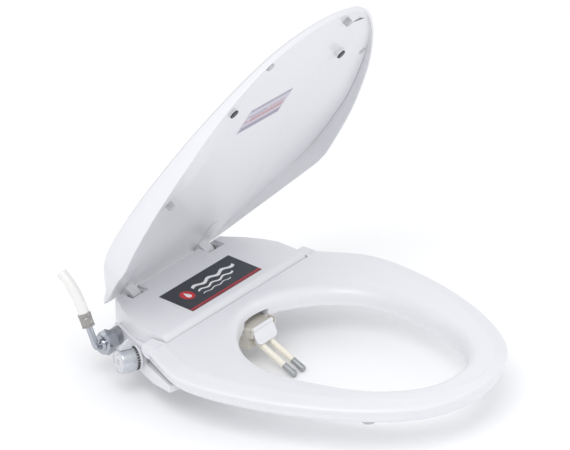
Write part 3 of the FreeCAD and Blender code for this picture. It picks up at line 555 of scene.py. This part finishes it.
def knob():
    """The satin knob: a turned shell with a stepped rim, its face and the printed scale."""
    low, high, radius = reach("knob_shell", knob_frame)
    rim = 0.0016
    profile = [(low, radius - 0.0022), (low, radius - 0.0006), (low + 0.0006, radius),
               (low + 0.0022, radius), (low + 0.0025, radius - 0.0004),
               (low + 0.0029, radius - 0.0004), (low + 0.0032, radius),
               (high - 0.0016, radius), (high - 0.0007, radius - 0.0003),
               (high - 0.0001, radius - 0.0010), (high, radius - rim),
               (high - 0.0002, radius - rim - 0.0004), (high - 0.0010, radius - rim - 0.0006)]
    shell = lathe("knob_turned", knob_frame, profile, 96, caps=False)
    finish_piece(shell, "knob_shell", "knob", ["knob_shell"])
    top = reach("knob_face", knob_frame)[1]
    wide = radius - rim - 0.0004
    face = lathe("knob_plate", knob_frame, [(top - 0.0006, wide), (top - 0.0002, wide),
                                            (top, wide - 0.0005), (top, 0.0004)], 72)
    finish_piece(face, "knob_face", "knob", ["knob_face"])
    plate = knob_frame @ Matrix.Translation((0, 0, top))
    ring_in, ring_out = 7.6, 9.6
    for k in range(17):
        turn = math.radians(-150 + 300 * k / 16)
        long = ring_out if k % 4 == 0 else ring_out - 0.9
        tick_mark("knob_tick_%02d" % k, plate, turn, ring_in, long, 0.35,
                  RED if k == 0 else DARK_PRINT_AND_HOLE_SHADE)
    patch("knob_pointer", plate, [(-1.2, 10.4), (1.2, 10.4), (0, 7.8)], RED, "knob_face", "knob")
    for k, height in enumerate((2.2, 0.0, -2.2)):
        patch("knob_wave_%d" % k, plate, wave(-3.4, 3.4, height, 0.5, 0.45, 1.5, 24), DARK_PRINT_AND_HOLE_SHADE,
              "knob_face", "knob")


def fin():
    """The knob's fin: a wedge that rises to a rounded point on the side nearest the body."""
    spots = seen_from("knob_fin", knob_frame)
    centre = sum(spots, Vector()) / len(spots)
    outward = Vector((centre.x, centre.y, 0)).normalized()
    across = Vector((-outward.y, outward.x, 0))
    low, high = (pick(p.z for p in spots) for pick in (min, max))
    root, top = (pick(p.dot(outward) for p in spots) for pick in (min, max))
    half = max(abs(p.dot(across)) for p in spots)
    long, tall = high - low, top - root
    outline = [(high, 0.0, 1.0), (high - 0.06 * long, 0.24, 0.95), (high - 0.34 * long, 0.62, 0.85),
               (high - 0.6 * long, 0.9, 0.7), (high - 0.74 * long, 1.0, 0.6),
               (high - 0.86 * long, 0.97, 0.6), (high - 0.95 * long, 0.82, 0.7),
               (low, 0.5, 0.85), (low, 0.0, 1.0)]
    points = [knob_frame @ (outward * (root + rise * tall) + across * side * half * wide
                            + Vector((0, 0, z)))
              for side in (-1, 1) for z, rise, wide in outline]
    count = len(outline)
    faces = [tuple(range(count)), tuple(range(count, 2 * count))]
    faces += [(i, (i + 1) % count, count + (i + 1) % count, count + i) for i in range(count)]
    made = mesh_object("knob_wedge", points, faces)
    bevel = made.modifiers.new("Round", "BEVEL")
    bevel.width = 0.7 * MM
    bevel.segments = 3
    bevel.limit_method = "ANGLE"
    bevel.harden_normals = True
    finish_piece(made, "knob_fin", "knob", ["knob_fin"])


def tick_mark(name, plate, turn, inner, outer, width, ink):
    """One short stroke of the dial's scale."""
    along, side = (math.sin(turn), math.cos(turn)), (math.cos(turn), -math.sin(turn))
    corners = [(along[0] * r + side[0] * w, along[1] * r + side[1] * w)
               for r, w in ((inner, -width / 2), (outer, -width / 2), (outer, width / 2),
                            (inner, width / 2))]
    patch(name, plate, corners, ink, "knob_face", "knob")


knob()
fin()


def dial():
    """The dark ring at the knob's root, cut into segments."""
    low, high, radius = reach("dial_ring", knob_frame)
    core = lathe("dial_core", knob_frame, [(low, radius - 0.0045), (low + 0.0032, radius - 0.0018),
                                           (low + 0.0034, radius - 0.0008),
                                           (high - 0.0004, radius - 0.0008),
                                           (high, radius - 0.0016)], 72)
    finish_piece(core, "body_white", "base", ["dial_ring"])
    teeth = 26
    for k in range(teeth):
        points, faces = [], []
        for z in (low + 0.0064, high - 0.0004):
            for r in (radius - 0.0016, radius):
                for share in (-0.36, -0.12, 0.12, 0.36):
                    turn = 2 * math.pi * (k + share) / teeth
                    points.append(knob_frame @ Vector((r * math.cos(turn), r * math.sin(turn), z)))
        for i in range(3):
            faces += [(i, i + 1, i + 5, i + 4), (8 + i, 9 + i, 13 + i, 12 + i),
                      (i, i + 1, i + 9, i + 8), (4 + i, 5 + i, 13 + i, 12 + i)]
        faces += [(0, 4, 12, 8), (3, 7, 15, 11)]
        tooth = mesh_object("dial_tooth_%02d" % k, points, faces, smooth=False)
        finish_piece(tooth, "dial_ring", "base")


dial()


# ---------------------------------------------------------------- inlet fittings

stub_low, stub_high = (Vector(v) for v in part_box("inlet_stub"))
stub_mid = (stub_low + stub_high) / 2
PIPE_RADIUS, PIPE_STOP = 0.0039, 0.0158
inlet_frame = direction_frame(Vector((stub_high.x, *stub_mid.yz)),
                              Vector((-1, 0, 0)))


def thread(pitch=0.0018, depth=0.0008, wall=0.003):
    """The inlet stub with its thread ridges, bored through."""
    low, high, radius = reach("inlet_stub", inlet_frame)
    profile = [(low, radius - wall), (low, radius - depth)]
    along = low + 0.008
    profile.append((along, radius - depth))
    while along < high - pitch:
        profile += [(along + pitch * 0.3, radius), (along + pitch * 0.5, radius),
                    (along + pitch * 0.8, radius - depth), (along + pitch, radius - depth)]
        along += pitch
    profile += [(high, radius - depth), (high, radius - wall)]
    stub = lathe("inlet_thread", inlet_frame, profile, 72, caps=False)
    finish_piece(stub, "inlet_stub", "base", ["inlet_stub"])


def hex_nut():
    """The hexagonal nut with both ends turned to a chamfer."""
    low, high, radius = reach("inlet_nut", inlet_frame)
    flat = radius * math.cos(math.radians(30))
    phase = hex_phase("inlet_nut", inlet_frame)
    turns, chamfer = 144, 0.0022
    rings = []
    for z, most in ((low, flat - 0.0008), (low + 0.0001, flat - 0.0002), (low + chamfer, radius),
                    (high - chamfer * 1.6, radius), (high - 0.0006, flat - 0.0004),
                    (high, flat - 0.0012), (high, 0.0071), (high - 0.0012, 0.0070)):
        ring = []
        for i in range(turns):
            turn = 2 * math.pi * i / turns
            off = (math.degrees(turn) + 30 - phase) % 60 - 30
            r = min(flat / math.cos(math.radians(off)), most)
            ring.append(inlet_frame @ Vector((r * math.cos(turn), r * math.sin(turn), z)))
        rings.append(ring)
    nut = skin("nut_hex", rings, caps=True)
    sharp_smooth(nut, 14)
    finish_piece(nut, "inlet_nut", "base", ["inlet_nut"])


def hex_phase(node, place):
    """The turn, in degrees, at which a hexagon's flats face."""
    far = max(seen_from(node, place), key=lambda p: math.hypot(p.x, p.y))
    return (math.degrees(math.atan2(far.y, far.x)) + 30) % 60


thread()
hex_nut()


def collar():
    """The domed swivel collar that holds the pipe in the nut."""
    low, high, radius = reach("pipe_collar", inlet_frame)
    made = lathe("collar_dome", inlet_frame,
                 [(low - 0.0008, radius), (low + 0.0008, radius), (low + 0.0016, radius - 0.0006),
                  (high - 0.0004, radius - 0.0022), (high, radius - 0.0030)], 64)
    finish_piece(made, "pipe_collar", "base", ["pipe_collar"])


def bent_pipe(bend=0.0050):
    """The chrome pipe from the nut, round one bend and up into the ferrule."""
    high = Vector(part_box("elbow_pipe")[1])
    corner = Vector((HOSE_ROUTE_MM[0][0] * MM, stub_mid.y, stub_mid.z))
    ferrule_top = Vector(HOSE_ROUTE_MM[0]) * MM
    rise = (ferrule_top - corner).normalized()
    start = Vector((high.x, corner.y, corner.z))
    finish_at = ferrule_top - rise * PIPE_STOP
    inward = Vector((-1, 0, 0))
    line = [start, start.lerp(corner - inward * bend, 0.5), corner - inward * bend]
    for k in range(1, 12):
        share = k / 12
        line.append((corner - inward * bend) * (1 - share) ** 2 + corner * 2 * share * (1 - share)
                    + (corner + rise * bend) * share ** 2)
    line += [corner + rise * bend, finish_at]
    made = tube("pipe_bent", line, PIPE_RADIUS)
    finish_piece(made, "elbow_pipe", "base", ["elbow_pipe"])


def tube(name, line, radius, turns=40):
    """A solid round bar along a line of points."""
    rings, side = [], Vector((0, 1, 0))
    for k, at in enumerate(line):
        ahead = (line[min(k + 1, len(line) - 1)] - line[max(k - 1, 0)]).normalized()
        side = (side - ahead * side.dot(ahead)).normalized()
        other = ahead.cross(side)
        rings.append([at + (side * math.cos(t) + other * math.sin(t)) * radius
                      for t in (2 * math.pi * i / turns for i in range(turns))])
    made = skin(name, rings, caps=True)
    sharp_smooth(made, 50)
    return made


collar()
bent_pipe()


def ferrule():
    """The crimped sleeve: plain lips at the ends and eight crimped flutes between."""
    end = Vector(HOSE_ROUTE_MM[0]) * MM
    corner = Vector((end.x, stub_mid.y, stub_mid.z))
    place = direction_frame(end, end - corner, Vector((0, 1, 0)))
    low, high, radius = reach("hose_ferrule", place)
    levels = [(0.0, 0.93, 0), (0.02, 1, 0), (0.10, 1, 0), (0.12, 0.94, 0), (0.16, 0.94, 0),
              (0.20, 1, 0.3), (0.28, 1, 1), (0.56, 1, 1), (0.64, 1, 0.3), (0.68, 0.94, 0),
              (0.73, 0.94, 0), (0.76, 1, 0), (0.97, 1, 0), (1.0, 0.95, 0), (1.0, 0.84, 0)]
    turns, flutes, crimp_depth = 96, 8, 0.055
    rings = []
    for share, wide, crimp in levels:
        ring = []
        for i in range(turns):
            turn = 2 * math.pi * i / turns
            pinch = crimp_depth * crimp * (0.5 + 0.5 * math.cos(flutes * turn))
            r = radius * wide * (1 - pinch)
            ring.append(place @ Vector((r * math.cos(turn), r * math.sin(turn),
                                        low + (high - low) * share)))
        rings.append(ring)
    made = skin("ferrule_crimped", rings, caps=True)
    sharp_smooth(made, 35)
    finish_piece(made, "hose_ferrule", "base", ["hose_ferrule"])


ferrule()


# ---------------------------------------------------------------- nozzles

SPRAY_HOLES_MM = ((3.4, 0.0), (5.0, -0.9), (5.0, 0.9), (6.6, 0.0))
slide_axis = -Vector(JOINT["nozzle_left_slide"]["axis"]).normalized()


def nozzle(word):
    """One nozzle's rod and tip, with a seam ring, and thin dark discs of painted shade on top where
    the spray holes are.
    """
    body = "nozzle_" + word
    centre = middle("nozzle_rod_" + word)
    place = direction_frame(centre, -slide_axis)
    low, high, radius = reach("nozzle_rod_" + word, place)
    rod = lathe(body + "_turned_rod", place,
                [(low, radius - 0.0004), (low + 0.0004, radius), (high - 0.0003, radius),
                 (high, radius - 0.0003)], 48)
    finish_piece(rod, "nozzle_rod_" + word, body, ["nozzle_rod_" + word])
    low, high, radius = reach("nozzle_tip_" + word, place)
    profile = [(low, radius - 0.0004), (low + 0.0003, radius), (low + 0.0012, radius),
               (low + 0.0014, radius - 0.00035), (low + 0.0018, radius - 0.00035),
               (low + 0.0020, radius), (high - 0.0018, radius), (high - 0.0008, radius - 0.0003),
               (high - 0.0002, radius - 0.0010), (high, radius - 0.0020)]
    tip = lathe(body + "_turned_tip", place, profile, 48)
    finish_piece(tip, "nozzle_tip_" + word, body, ["nozzle_tip_" + word])
    upward = (place.to_3x3() @ Vector((0, 1, 0))).normalized()
    for k, (back_from_tip, aside) in enumerate(SPRAY_HOLES_MM):
        spot = place @ Vector((aside * MM, 0, high - back_from_tip * MM))
        lift = math.sqrt(radius ** 2 - (aside * MM) ** 2)
        at = direction_frame(spot + upward * (lift - 0.0002), upward, Vector((1, 0, 0)))
        # Each spray hole is a thin dark disc laid on the tip: painted shade in place of a bored
        # hole.
        hole_shade = lathe("%s_spray_%d" % (body, k), at, [(0, 0.00055), (0.00022, 0.00055)], 16)
        hole_shade.data.materials.append(DARK_PRINT_AND_HOLE_SHADE)
        finish_piece(hole_shade, "nozzle_tip", body)


for word in ("left", "right"):
    nozzle(word)


# ---------------------------------------------------------------- rubber feet and lid posts

def turned_foot(node, axis, body, edge):
    """A round foot with a softened end, turned about the given axis."""
    place = direction_frame(middle(node), axis, Vector((1, 0, 0)))
    low, high, radius = reach(node, place)
    made = lathe(node + "_turned", place,
                 [(low, radius), (high - edge, radius), (high - edge * 0.3, radius - edge * 0.3),
                  (high, radius - edge)], 40)
    finish_piece(made, node, body, [node])


for node, body in BODY_OF.items():
    if node.startswith(("lid_bumper", "lid_post")):
        turned_foot(node, down, body, (0.3 if "post" in node else 1.0) * MM)
    elif node.startswith("seat_bumper"):
        turned_foot(node, Vector((0, 0, -1)), body, 1.0 * MM)


# ---------------------------------------------------------------- CAD shapes with rounded edges

# Edge radius of each piece, in mm.
ROUNDED = {
    "base_housing": 1.6, "top_cover": 2.2, "hinge_bracket_left": 1.0, "hinge_bracket_right": 1.0,
    "lid_arm_left": 1.6, "lid_arm_right": 1.6, "seat_ring": 0.6, "seat_underplate": 0.8,
    "lid_shell": 1.2, "nozzle_guide": 1.0, "nozzle_gate": 0.5, "gate_pin": 0.2,
    "mounting_bracket": 0.6, "bracket_pad_left": 0.4, "bracket_pad_right": 0.4,
    "valve_body": 0.6, "knob_stem": 0.3, "cover_label": 0.1, "lid_label": 0.1,
    "lid_pin_left": 0.3, "lid_pin_right": 0.3, "seat_pin_left": 0.3, "seat_pin_right": 0.3,
    "lid_damper_left": 0.4, "lid_damper_right": 0.4, "nozzle_barrel_left": 0.3,
    "nozzle_barrel_right": 0.3,
}
for node, radius in ROUNDED.items():
    rounded_copy(node, radius * MM)
